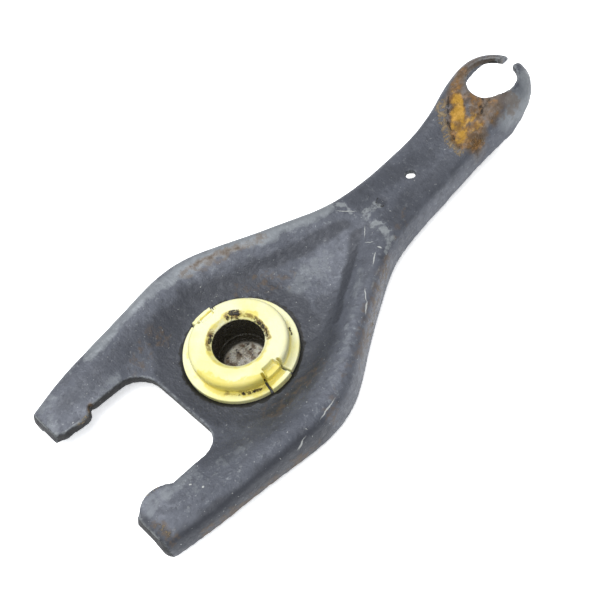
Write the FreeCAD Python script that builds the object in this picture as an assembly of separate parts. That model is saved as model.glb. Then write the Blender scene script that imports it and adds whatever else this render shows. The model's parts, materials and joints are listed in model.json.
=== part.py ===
import FreeCAD, Part
import math
import os
from collections import namedtuple

# Clutch release fork: one steel pressing with a snap-in nylon pivot bush.
# Frame: the origin lies on the axis of the pivot bush, on the face of the web that the bush sits on.
# +X runs along the fork to the cable eye, +Y to one side, +Z out of the open side of the bush.
# All sizes are in millimetres.

V = FreeCAD.Vector

# ---- sheet of the pressing ----
SHEET = 4.0                 # thickness of the steel
FLANGE_BEND = 0.62          # share of a flange's depth taken by its bend
BUSH_HOLE_R = 13.6          # hole in the web that the bush snaps into
SEAT_R = 19.6               # flat coined round that hole for the flange of the bush

# ---- tines ----
TIP_X = -61.0               # squared-off end of the tines
TIP_HALF = 34.4             # half width over the tines there
TIP_CORNER_R = 4.0          # rounding of the outer corner of each tine, seen from above
SLOT_X = -26.0              # bottom of the slot between the tines
SLOT_HALF = 19.5            # half the width of the slot
SLOT_CORNER_R = 8.0
PAD_X = (-45.6, -60.0)      # where the rounded pad of each tine starts and ends
PAD_BULGE = 3.1             # how far the pad stands into the slot

# ---- arm and cable eye ----
EYE_X = 126.2               # axis of the eye
EYE_R = 8.7                 # bore of the eye
EYE_GAP = 5.2               # opening at the end of the eye
EYE_WALL = 3.0              # height of the wall of the bore
COLLAR_R = 11.0             # inner radius of the collar under that wall
SKIRT_EDGE = [(112.0, -3.0), (121.0, 3.4), (127.0, 8.4), (135.0, 13.6)]  # lower edge of its skirt, X and Z
EYE_CROWN = 18.4            # top of the collar at the bore
PILOT_X = 83.0              # small locating hole through the arm
PILOT_R = 1.7
MARK_X = 68.5               # shallow round mark from the press tool
MARK_R = 1.8
MARK_FLOOR_Z = 6.9         # the arm's top is 0.5 higher

# ---- nylon bush ----
FLANGE_R = 19.0
FLANGE_T = 2.0
BOSS_R = 16.3
BOSS_TOP = 7.0
BOSS_ROUND = 1.6
MOUTH_R = 10.2              # outer edge of the chamfer round the socket
MOUTH_CHAMFER = 1.4
SOCKET_R = 8.6              # straight entry of the ball socket
SOCKET_LIP_Z = -3.5         # step that the ball is pushed past
SEAT_LIP_R = 8.0
SOCKET_FLOOR_R = 6.0
SOCKET_FLOOR_Z = -7.2
NECK_R = 13.4               # part of the bush inside the hole of the web
NECK_LOW_Z = -SHEET - 0.2   # just under the web, where the lugs hook
CUP_R = 12.4
CUP_SIDE_Z = -6.0           # where the side of the cup starts to draw in
CUP_SHOULDER_R = 11.4
CUP_SHOULDER_Z = -8.1
CUP_BOTTOM_R = 9.0
CUP_BOTTOM_Z = -9.2
LUGS = (90.0, 270.0)        # directions of the two snap lugs, in degrees
LUG_HALF_ANGLE = 13.0       # each snap lug spans twice this angle
LUG_SLOT = 0.9              # width of the slots beside a lug
LUG_SLOT_R = 14.6           # those slots run from here out through the flange
LUG_BARB = 1.3              # how far a lug hooks under the web
LUG_BARB_LOW_Z = -7.4       # where the lead-in of the hook ends
LUG_STEP_R = 13.5           # the top of a lug is lower than the boss from here out
LUG_STEP_Z = 4.6
TAB_R = 17.9                # a raised rim runs from here out to the edge of the flange at each lug
TAB_STEP = 0.7              # height of that rim over the flange
TAB_OUT = 0.4               # how far that rim stands out past the flange

# Reach of the cutting tools, well past the part on every side.
HIGH = 40.0
WIDE = 60.0

# Sections of the pressing along X. half: half width. crown: height of the ribs. web: height of the
# floor between them. floor, ridge: half width of the floor and of the line where a rib is highest.
# drop: how far the outer shoulder lies under the crown. depth: from the crown to the lower edge.
Section = namedtuple("Section", "x half crown web floor ridge drop depth")
SECTIONS = [
    Section(-68, 31.4, 6.8, 6.6, 12.0, 25.0, 0.0, 8.8),
    Section(-58, 34.0, 7.2, 7.0, 12.0, 26.0, 0.0, 8.7),
    Section(-46, 36.6, 7.3, 6.4, 13.0, 28.0, 0.0, 8.5),
    Section(-34, 37.8, 7.2, 4.4, 15.0, 30.0, 0.0, 8.6),
    Section(-24, 38.9, 7.2, 1.4, 18.0, 31.5, 0.0, 9.6),
    Section(-12, 40.3, 7.3, 0.0, 20.5, 33.0, 0.0, 11.4),
    Section(0, 41.5, 7.5, 0.0, 21.5, 33.5, 0.0, 12.6),
    Section(12, 39.4, 7.8, 0.0, 20.0, 31.5, 0.0, 12.6),
    Section(24, 31.8, 8.0, 0.2, 14.5, 25.0, 0.0, 12.0),
    Section(36, 25.3, 8.2, 1.2, 9.0, 19.5, 0.0, 11.4),
    Section(48, 18.9, 8.1, 3.6, 4.6, 13.0, 0.0, 11.0),
    Section(58, 14.6, 7.8, 6.9, 2.6, 9.2, 0.0, 10.9),
    Section(70.5, 12.7, 7.4, 7.5, 2.0, 7.2, 0.0, 10.9),
    Section(85, 12.1, 7.5, 7.6, 2.0, 6.9, 0.0, 10.5),
    Section(98, 11.6, 8.5, 8.2, 2.2, 6.5, 0.0, 10.8),
    Section(109, 12.0, 13.0, 10.6, 3.0, 6.9, 0.8, 13.0),
    Section(119, 14.3, EYE_CROWN, 18.2, 3.4, 9.0, 3.0, 15.0),
    Section(EYE_X, 14.3, EYE_CROWN, 18.0, 3.4, 9.0, 3.0, 15.0),
]


def half_cage(s):
    """Control points of the upper side of one section, from its middle to its lower edge."""
    top = s.crown
    low = s.crown - s.depth
    shoulder = top - s.drop
    return [
        (0.0, s.web),
        (0.5 * s.floor, s.web),
        (s.floor, s.web),
        (0.5 * (s.floor + s.ridge), 0.5 * (s.web + top)),
        (s.ridge, top),
        (s.half, shoulder),
        (s.half, shoulder - max(FLANGE_BEND * (s.depth - s.drop), SHEET + 0.8)),
        (s.half, low),
    ]


def offset_cage(points, distance):
    """The same control line moved to its right-hand side by a distance."""
    moved = []
    for i, (y, z) in enumerate(points):
        normals = []
        for j in (i - 1, i):
            if 0 <= j < len(points) - 1:
                dy = points[j + 1][0] - points[j][0]
                dz = points[j + 1][1] - points[j][1]
                length = math.hypot(dy, dz)
                normals.append((dz / length, -dy / length))
        ny = sum(n[0] for n in normals) / len(normals)
        nz = sum(n[1] for n in normals) / len(normals)
        square = ny * ny + nz * nz
        moved.append((y + distance * ny / square, z + distance * nz / square))
    return moved


def row(s, below):
    """Control points of one whole section, from +Y to -Y, on the upper or the lower side."""
    half = half_cage(s)
    if below:
        mirrored = [(-y, z) for y, z in half[:0:-1]]
        half = offset_cage(mirrored + half, SHEET)[len(mirrored):]
        half[0] = (0.0, half[0][1])
        half[-1] = (half[-1][0], s.crown - s.depth)
    left = [V(s.x, y, z) for y, z in half[::-1]]
    right = [V(s.x, -y, z) for y, z in half[1:]]
    return left + right


def skin(below):
    """Smooth surface over the control points of all sections."""
    poles = [row(s, below) for s in SECTIONS]

    def knots(count):
        inner = count - 3
        return [float(k) for k in range(inner + 1)], [4] + [1] * (inner - 1) + [4]

    u_knots, u_mults = knots(len(poles))
    v_knots, v_mults = knots(len(poles[0]))
    surface = Part.BSplineSurface()
    surface.buildFromPolesMultsKnots(poles, u_mults, v_mults, u_knots, v_knots, False, False, 3, 3)
    return surface


def edge_along(surface, v):
    """Edge of a skin along the fork."""
    return surface.vIso(v).toShape()


def edge_across(surface, u):
    """Edge of a skin across the fork."""
    return surface.uIso(u).toShape()


def sheet_body():
    """The dished channel from the tines to the middle of the eye."""
    upper = skin(False)
    lower = skin(True)
    u0, u1, v0, v1 = upper.bounds()
    faces = [upper.toShape(), lower.toShape()]
    for v in (v0, v1):
        faces.append(Part.makeRuledSurface(edge_along(upper, v), edge_along(lower, v)))
    for u in (u0, u1):
        faces.append(Part.makeRuledSurface(edge_across(upper, u), edge_across(lower, u)))
    shell = Part.makeShell(faces)
    shell.sewShape()
    solid = Part.makeSolid(shell)
    if solid.Volume < 0:
        solid.reverse()
    return solid


def eye_ring():
    """Far half of the eye: one half of the end section turned about the axis of the eye."""
    half_curves = []
    for below in (False, True):
        surface = skin(below)
        u1 = surface.bounds()[1]
        v0, v1 = surface.bounds()[2:]
        curve = surface.uIso(u1)
        curve.segment(v0, 0.5 * (v0 + v1))
        half_curves.append(curve.toShape())
    upper, lower = half_curves
    lip = Part.makeLine(upper.Vertexes[0].Point, lower.Vertexes[0].Point)
    axis = Part.makeLine(upper.Vertexes[-1].Point, lower.Vertexes[-1].Point)
    outline = Part.Wire(Part.__sortEdges__([upper, lip, lower, axis]))
    return Part.Face(outline).revolve(V(EYE_X, 0, 0), V(0, 0, 1), -180)


def collar_tool():
    """What is cut away under the collar of the eye: it thins the wall round the bore."""
    top = EYE_CROWN - EYE_WALL
    edge = top - (COLLAR_R - EYE_R)
    points = [(0, top), (EYE_R, top), (COLLAR_R, edge), (COLLAR_R, -HIGH), (0, -HIGH), (0, top)]
    outline = Part.makePolygon([V(EYE_X + r, 0, z) for r, z in points])
    return Part.Face(outline).revolve(V(EYE_X, 0, 0), V(0, 0, 1), 360)


def skirt_tool():
    """What is cut away where the side flanges run out round the eye."""
    first_x = SKIRT_EDGE[0][0]
    last_z = SKIRT_EDGE[-1][1]
    beyond = EYE_X + WIDE
    corners = SKIRT_EDGE + [(beyond, last_z), (beyond, -HIGH), (first_x, -HIGH)]
    points = [V(x, -WIDE, z) for x, z in corners]
    outline = Part.makePolygon(points + points[:1])
    return Part.Face(outline).extrude(V(0, 2 * WIDE, 0))


def slot_tool():
    """What is cut away between the tines: a slot with rounded corners, narrowed by the two pads."""
    far = TIP_X - WIDE
    r = SLOT_CORNER_R
    w = SLOT_HALF
    x0, x1 = PAD_X
    middle = 0.5 * (x0 + x1)
    dip = w - PAD_BULGE
    k = r * (1 - math.sqrt(0.5))
    edges = [
        Part.LineSegment(V(SLOT_X, -w + r, 0), V(SLOT_X, w - r, 0)),
        Part.Arc(V(SLOT_X, w - r, 0), V(SLOT_X - k, w - k, 0), V(SLOT_X - r, w, 0)),
        Part.LineSegment(V(SLOT_X - r, w, 0), V(x0, w, 0)),
        Part.Arc(V(x0, w, 0), V(middle, dip, 0), V(x1, w, 0)),
        Part.LineSegment(V(x1, w, 0), V(far, w, 0)),
        Part.LineSegment(V(far, w, 0), V(far, -w, 0)),
        Part.LineSegment(V(far, -w, 0), V(x1, -w, 0)),
        Part.Arc(V(x1, -w, 0), V(middle, -dip, 0), V(x0, -w, 0)),
        Part.LineSegment(V(x0, -w, 0), V(SLOT_X - r, -w, 0)),
        Part.Arc(V(SLOT_X - r, -w, 0), V(SLOT_X - k, -w + k, 0), V(SLOT_X, -w + r, 0)),
    ]
    face = Part.Face(Part.Wire([e.toShape() for e in edges]))
    face.translate(V(0, 0, -HIGH))
    return face.extrude(V(0, 0, 2 * HIGH))


def tip_tool():
    """What is cut off beyond the squared ends of the tines, with their rounded outer corners."""
    r = TIP_CORNER_R
    k = r * (1 - math.sqrt(0.5))
    sides = []
    for side in (1, -1):
        start = V(TIP_X, side * (TIP_HALF - r), 0)
        middle = V(TIP_X + k, side * (TIP_HALF - k), 0)
        end = V(TIP_X + r, side * TIP_HALF, 0)
        outer = V(TIP_X + r, side * WIDE, 0)
        corner = V(TIP_X, side * WIDE, 0)
        arc = Part.Arc(start, middle, end).toShape()
        lines = [Part.makeLine(end, outer), Part.makeLine(outer, corner), Part.makeLine(corner, start)]
        face = Part.Face(Part.Wire([arc] + lines))
        face.translate(V(0, 0, -HIGH))
        sides.append(face.extrude(V(0, 0, 2 * HIGH)))
    beyond = Part.makeBox(WIDE, 2 * WIDE, 2 * HIGH, V(TIP_X - WIDE, -WIDE, -HIGH))
    return beyond.fuse(sides)


def cylinder(r, z0, z1, x=0.0):
    """Upright cylinder from z0 to z1, on the middle line of the fork."""
    return Part.makeCylinder(r, z1 - z0, V(x, 0, z0))


def fork_pressing():
    """The whole pressing, with its slot, eye and holes."""
    body = sheet_body()
    body = body.fuse(eye_ring())
    tools = [
        slot_tool(),
        tip_tool(),
        cylinder(BUSH_HOLE_R, -HIGH, HIGH),
        cylinder(SEAT_R, 0, HIGH),
        collar_tool(),
        skirt_tool(),
        cylinder(EYE_R, -HIGH, HIGH, EYE_X),
        Part.makeBox(WIDE, EYE_GAP, 2 * HIGH, V(EYE_X, -EYE_GAP / 2, -HIGH)),
        cylinder(PILOT_R, -HIGH, HIGH, PILOT_X),
        cylinder(MARK_R, MARK_FLOOR_Z, HIGH, MARK_X),
    ]
    return body.cut(tools).removeSplitter()


def bush_profile():
    """Half section of the bush, in the XZ plane, from the floor of the socket round to its underside."""
    c = MOUTH_CHAMFER
    r = BOSS_ROUND
    k = r * (1 - math.sqrt(0.5))
    seat_bulge = V(0.5 * (SEAT_LIP_R + SOCKET_FLOOR_R) + 0.6, 0, 0.5 * (SOCKET_LIP_Z + SOCKET_FLOOR_Z) - 0.8)
    boss_bulge = V(BOSS_R - k, 0, BOSS_TOP - k)
    # Each corner, with the middle of the arc that leads on from it where the next side is an arc.
    corners = [
        (0, SOCKET_FLOOR_Z, None),
        (SOCKET_FLOOR_R, SOCKET_FLOOR_Z, seat_bulge),
        (SEAT_LIP_R, SOCKET_LIP_Z, None),
        (SOCKET_R, SOCKET_LIP_Z, None),
        (SOCKET_R, BOSS_TOP - c, None),
        (MOUTH_R, BOSS_TOP, None),
        (BOSS_R - r, BOSS_TOP, boss_bulge),
        (BOSS_R, BOSS_TOP - r, None),
        (BOSS_R, FLANGE_T, None),
        (FLANGE_R, FLANGE_T, None),
        (FLANGE_R, 0, None),
        (NECK_R, 0, None),
        (NECK_R, NECK_LOW_Z, None),
        (CUP_R, NECK_LOW_Z, None),
        (CUP_R, CUP_SIDE_Z, None),
        (CUP_SHOULDER_R, CUP_SHOULDER_Z, None),
        (CUP_BOTTOM_R, CUP_BOTTOM_Z, None),
        (0, CUP_BOTTOM_Z, None),
    ]
    edges = []
    for i, (x, z, bulge) in enumerate(corners):
        next_x, next_z = corners[(i + 1) % len(corners)][:2]
        a = V(x, 0, z)
        b = V(next_x, 0, next_z)
        edges.append(Part.Arc(a, bulge, b).toShape() if bulge else Part.makeLine(a, b))
    return Part.Face(Part.Wire(edges))


def turned(solid, degrees):
    """A copy of a solid turned about the axis of the bush."""
    copy = solid.copy()
    copy.rotate(V(0, 0, 0), V(0, 0, 1), degrees)
    return copy


def sector(r0, r1, z0, z1, half_angle, direction):
    """Part of a ring between two radii, spanning half_angle to each side of a direction."""
    profile = Part.makePolygon([V(r0, 0, z0), V(r1, 0, z0), V(r1, 0, z1), V(r0, 0, z1), V(r0, 0, z0)])
    ring = Part.Face(profile).revolve(V(0, 0, 0), V(0, 0, 1), 2 * half_angle)
    return turned(ring, direction - half_angle)


def lug_hook(direction):
    """The hook of a snap lug, with its lead-in, under the web."""
    root = CUP_R - 0.5
    tip = NECK_R + LUG_BARB
    low = NECK_LOW_Z
    corners = [(root, low), (tip, low), (tip, low - 0.6), (root, LUG_BARB_LOW_Z), (root, low)]
    outline = Part.makePolygon([V(x, 0, z) for x, z in corners])
    half = LUG_HALF_ANGLE - 2
    ring = Part.Face(outline).revolve(V(0, 0, 0), V(0, 0, 1), 2 * half)
    return turned(ring, direction - half)


def pivot_bush():
    """The nylon bush with its two snap lugs."""
    bush = bush_profile().revolve(V(0, 0, 0), V(0, 0, 1), 360)
    high = BOSS_TOP - NECK_LOW_Z
    adds = []
    cuts = []
    for direction in LUGS:
        adds.append(lug_hook(direction))
        adds.append(sector(TAB_R, FLANGE_R + TAB_OUT, 0, FLANGE_T + TAB_STEP, LUG_HALF_ANGLE, direction))
        cuts.append(sector(LUG_STEP_R, BOSS_R + 1, LUG_STEP_Z, high, LUG_HALF_ANGLE - 3, direction))
        for side in (-1, 1):
            slot = Part.makeBox(FLANGE_R, LUG_SLOT, high, V(LUG_SLOT_R, -LUG_SLOT / 2, NECK_LOW_Z))
            cuts.append(turned(slot, direction + side * LUG_HALF_ANGLE))
    return bush.fuse(adds).cut(cuts).removeSplitter()


def export(name, shape):
    """Write one node and print what it measures."""
    solids = shape.Solids
    if len(solids) != 1 or not shape.isValid():
        raise RuntimeError("%s: %d solids, valid %s" % (name, len(solids), shape.isValid()))
    solids[0].exportStep("parts/%s.step" % name)
    b = solids[0].optimalBoundingBox()
    spans = "x %.1f..%.1f y %.1f..%.1f z %.1f..%.1f" % (b.XMin, b.XMax, b.YMin, b.YMax, b.ZMin, b.ZMax)
    print(name, "volume %.0f" % shape.Volume, spans)


os.makedirs("parts", exist_ok=True)
export("fork_pressing", fork_pressing())
export("pivot_bush", pivot_bush())
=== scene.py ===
import itertools
import json
import logging
import math
from dataclasses import dataclass, field
from enum import Enum
from typing import Any, Optional

import bpy
import numpy as np
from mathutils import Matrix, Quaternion, Vector

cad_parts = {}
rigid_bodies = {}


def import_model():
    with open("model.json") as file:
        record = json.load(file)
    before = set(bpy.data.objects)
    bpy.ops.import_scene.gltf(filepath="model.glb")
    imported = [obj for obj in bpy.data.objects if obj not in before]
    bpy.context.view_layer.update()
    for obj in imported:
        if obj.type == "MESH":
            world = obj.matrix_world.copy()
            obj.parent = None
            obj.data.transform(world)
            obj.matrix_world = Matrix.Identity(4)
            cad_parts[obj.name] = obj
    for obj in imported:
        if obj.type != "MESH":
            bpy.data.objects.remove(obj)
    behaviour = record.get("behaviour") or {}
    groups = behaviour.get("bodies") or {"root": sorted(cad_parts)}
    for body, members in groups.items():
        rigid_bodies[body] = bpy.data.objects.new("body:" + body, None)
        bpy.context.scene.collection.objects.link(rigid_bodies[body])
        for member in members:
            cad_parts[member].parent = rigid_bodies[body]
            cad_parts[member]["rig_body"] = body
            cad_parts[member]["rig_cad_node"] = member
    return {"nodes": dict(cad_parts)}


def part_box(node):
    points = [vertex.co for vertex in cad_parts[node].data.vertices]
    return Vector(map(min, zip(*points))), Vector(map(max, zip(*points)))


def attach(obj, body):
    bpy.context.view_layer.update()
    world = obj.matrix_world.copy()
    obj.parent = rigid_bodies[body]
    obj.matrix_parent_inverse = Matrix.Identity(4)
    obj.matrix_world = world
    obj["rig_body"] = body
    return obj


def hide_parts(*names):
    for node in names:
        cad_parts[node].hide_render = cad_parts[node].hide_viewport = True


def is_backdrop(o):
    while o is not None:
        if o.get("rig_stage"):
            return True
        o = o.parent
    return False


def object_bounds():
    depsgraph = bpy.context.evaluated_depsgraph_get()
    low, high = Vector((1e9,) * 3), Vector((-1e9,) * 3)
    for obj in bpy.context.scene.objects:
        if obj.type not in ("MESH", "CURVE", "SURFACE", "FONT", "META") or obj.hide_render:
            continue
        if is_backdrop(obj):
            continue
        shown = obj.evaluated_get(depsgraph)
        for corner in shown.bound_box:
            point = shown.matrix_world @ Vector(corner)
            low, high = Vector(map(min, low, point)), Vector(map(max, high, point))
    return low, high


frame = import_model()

# Looks of a worn clutch release fork: one steel pressing and the nylon pivot bush snapped into it.
# The frame is the part's own, in metres: origin on the axis of the bush at the face of the web,
# +X to the cable eye, +Z out of the socket. Sizes below are in millimetres and turned to metres.

MM = 0.001
log = logging.getLogger("clutch_fork")

Triple = tuple[float, float, float]
Route = tuple[Triple, ...]

MATH = "ShaderNodeMath"      # the node types used most
VECTOR_MATH = "ShaderNodeVectorMath"
RAMP = "ShaderNodeMapRange"
EASED = {"interpolation_type": "SMOOTHSTEP"}
MULTIPLY = {"operation": "MULTIPLY"}
MULTIPLY_ADD = {"operation": "MULTIPLY_ADD"}
MAXIMUM = {"operation": "MAXIMUM"}
MIX_A = 6                    # inputs and output of a colour Mix node
MIX_B = 7
MIX_OUT = 2
BLOT_ROUGHNESS = 0.62        # how strong each finer octave of a pattern is
SCRATCH_WAVE = 2.5           # length of the wobbles along a scratch
SCRATCH_STRAY = 1.0          # how far they carry it from side to side
SCRATCH_HEIGHT = 3.0         # how far above and below its line a scratch may still show
SCRATCH_FADE = (1.3, 0.5)    # half widths from its line where it starts to show and shows in full

RAGGED = 0.62                # how far a band's edge strays, as a share of its half width
UPRIGHT = 0.5                # how much a height counts in the distance to a band
FADE_END = 1.5               # a band fades out at this many half widths, starting from one less
DRIFTS = ((0.65, 5.5, 0), (0.35, 1.9, 3))  # strength, spacing and seeds of a coarse and a fine drift

MERGE_GAP = 0.002            # loose corners closer than this are one
SOFTENING = 0.5              # how far one pass of smoothing moves a vertex to its neighbours
BEND_SHARE = 0.25            # mean bend along a rounded edge, as a share of one over its radius
EDGE_FROM = 0.25             # bends weaker than this share of a sharp one don't count as an edge
HOLLOW_FROM = 0.15           # and the same for a hollow
FLOOR_GAP = 0.05             # the floor lies this far below the lowest point

CELL_KEYS = np.array([73856093, 19349663, 83492791])  # large odd numbers that scatter a cell's key
SEED_KEY = 9781
STIR_KEY = 1274126177
SEED_SHIFT = 7.31            # cells between the patterns of two seeds


class Mark(Enum):
    """What a surface carries. The value names the mesh attribute that holds it."""

    RUST = "rust"            # orange and brown iron oxide
    YELLOW = "yellow"        # fresh yellow oxide
    CRUST = "crust"          # dried tan deposit
    BARE_AND_HIGHLIGHT = "bare"            # finish rubbed down to grey, and thin painted highlights along the tine ends
    STAIN = "stain"          # thin brown film
    GRIME_AND_SHADE = "grime"          # black grease and dust, and painted shade round the bush and in the eye's bore
    FROST = "frost"          # pale mottling where the finish has lifted
    DULL_AND_SHADE = "dull"            # oil-darkened finish, and painted shade in the valleys beside the ribs
    AMBER_AND_SHADE = "amber"          # yellowed nylon, and painted shade on the side wall of the boss facing the lens
    TOAST = "toast"          # browned nylon
    EDGE = "edge"            # how sharply the surface bends outwards
    HOLLOW = "hollow"        # how sharply it bends inwards
    SHADED_CUT_WALL = "sheared"      # wall left by a cutting tool, laid near black as painted shade


STEEL_BANDS = (
    Mark.RUST, Mark.YELLOW, Mark.CRUST, Mark.BARE_AND_HIGHLIGHT, Mark.STAIN, Mark.GRIME_AND_SHADE, Mark.FROST, Mark.DULL_AND_SHADE,
)
NYLON_BANDS = (Mark.AMBER_AND_SHADE, Mark.TOAST, Mark.GRIME_AND_SHADE)


def clouds(points: np.ndarray, size: float, seed: int) -> np.ndarray:
    """Smooth random values over space, the same in each run.

    Args:
        points: positions in millimetres, one row each.
        size: spacing of the random values in millimetres.
        seed: picks one of many patterns.

    Returns:
        One value from -1 to 1 for each point.
    """
    place = points / size + SEED_SHIFT * seed
    cell = np.floor(place).astype(np.int64)
    part = place - cell
    part = part * part * (3.0 - 2.0 * part)
    total = np.zeros(len(points))
    for corner in itertools.product((0, 1), repeat=3):
        key = (cell + np.array(corner)) @ CELL_KEYS + SEED_KEY * seed
        key = ((key ^ (key >> 13)) * STIR_KEY) & 0x7FFFFFFF
        value = ((key ^ (key >> 15)) & 0xFFFF) / 0xFFFF
        total += value * np.prod(np.where(np.array(corner) == 1, part, 1.0 - part), axis=1)
    return 2.0 * total - 1.0


def arc(r: float, start: float, stop: float, z: float, centre_x: float = 0.0) -> Route:
    """Points along an arc about an upright axis on the part's middle line, in millimetres.

    Args:
        r: its radius.
        start: direction of its first point from +X, in degrees.
        stop: direction of its last point.
        z: its height.
        centre_x: where the axis stands.

    Returns:
        The points.
    """
    steps = max(2, round(abs(stop - start) / 12))
    turns = [math.radians(start + (stop - start) * i / steps) for i in range(steps + 1)]
    return tuple((centre_x + r * math.cos(t), r * math.sin(t), z) for t in turns)


@dataclass(frozen=True)
class Band:
    """A ragged band of one kind of mark along a route, in millimetres.

    Args:
        mark: what the band is made of.
        route: points that it follows.
        half: its half width.
        amount: strength along its middle, from 0 to 1.
    """

    mark: Mark
    route: Route
    half: float
    amount: float

    def weight(self, points: np.ndarray, drift: np.ndarray) -> np.ndarray:
        """Find how strongly the band covers each point.

        Args:
            points: positions in millimetres, one row each.
            drift: random shift of each point, from -1 to 1 along each axis.

        Returns:
            One value from 0 to the band's amount for each point.
        """
        moved = points + drift * self.half * RAGGED
        route = np.array(self.route)
        nearest = np.full(len(points), np.inf)
        for start, end in zip(route[:-1], route[1:]):
            run = end - start
            share = np.clip((moved - start) @ run / (run @ run), 0.0, 1.0)
            gap = moved - start - share[:, None] * run
            gap[:, 2] *= UPRIGHT
            nearest = np.minimum(nearest, np.linalg.norm(gap, axis=1))
        inside = np.clip(FADE_END - nearest / self.half, 0.0, 1.0)
        return self.amount * inside * inside * (3.0 - 2.0 * inside)


@dataclass(frozen=True)
class Scratch:
    """A thin line scored into a surface, in millimetres.

    Args:
        start: one end of the line.
        end: its other end.
        width: its full width.
    """

    start: Triple
    end: Triple
    width: float


@dataclass(frozen=True)
class Dent:
    """A place seen from above where the pressing is knocked aside, in millimetres.

    Args:
        centre: its middle.
        reach: how far it spreads along X and Y.
        push: how far its middle is moved along X and Y.
    """

    centre: tuple[float, float]
    reach: tuple[float, float]
    push: tuple[float, float]

    def depth(self, x: np.ndarray, y: np.ndarray) -> np.ndarray:
        """How deep in the dent each point lies, from 0 to 1."""
        away = ((x - self.centre[0]) / self.reach[0]) ** 2 + ((y - self.centre[1]) / self.reach[1]) ** 2
        return np.exp(-away)


@dataclass(frozen=True)
class Lamp:
    """A square lamp.

    Args:
        name: its name.
        place: its position in metres.
        size: length of its side in metres.
        power: its power in watts.
    """

    name: str
    place: Triple
    size: float
    power: float


def hex_colour(code: str) -> tuple[float, float, float, float]:
    """Turn an sRGB hex colour into the linear values that a shader takes.

    Args:
        code: six hex digits.

    Returns:
        Red, green, blue and an alpha of 1.
    """
    channels = [int(code[i:i + 2], 16) / 255 for i in (0, 2, 4)]
    linear = [c / 12.92 if c <= 0.04045 else ((c + 0.055) / 1.055) ** 2.4 for c in channels]
    return (linear[0], linear[1], linear[2], 1.0)


def per_mm(size: float) -> float:
    """Texture scale on coordinates in metres for a feature of this many millimetres."""
    return 1.0 / (size * MM)


def add_node(
    tree: bpy.types.NodeTree,
    kind: str,
    settings: Optional[dict[str, Any]] = None,
    inputs: Optional[dict[Any, Any]] = None,
) -> bpy.types.Node:
    """Add one shader node.

    Args:
        tree: node tree of the material or world.
        kind: Blender's name for the node type.
        settings: settings of the node itself.
        inputs: what its inputs take, by name or number: a value, a socket, or a node's first output.

    Returns:
        The new node.
    """
    node = tree.nodes.new(kind)
    for name, value in (settings or {}).items():
        setattr(node, name, value)
    for key, value in (inputs or {}).items():
        source = value.outputs[0] if isinstance(value, bpy.types.Node) else value
        if isinstance(source, bpy.types.NodeSocket):
            tree.links.new(source, node.inputs[key])
        else:
            node.inputs[key].default_value = source
    return node


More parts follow.
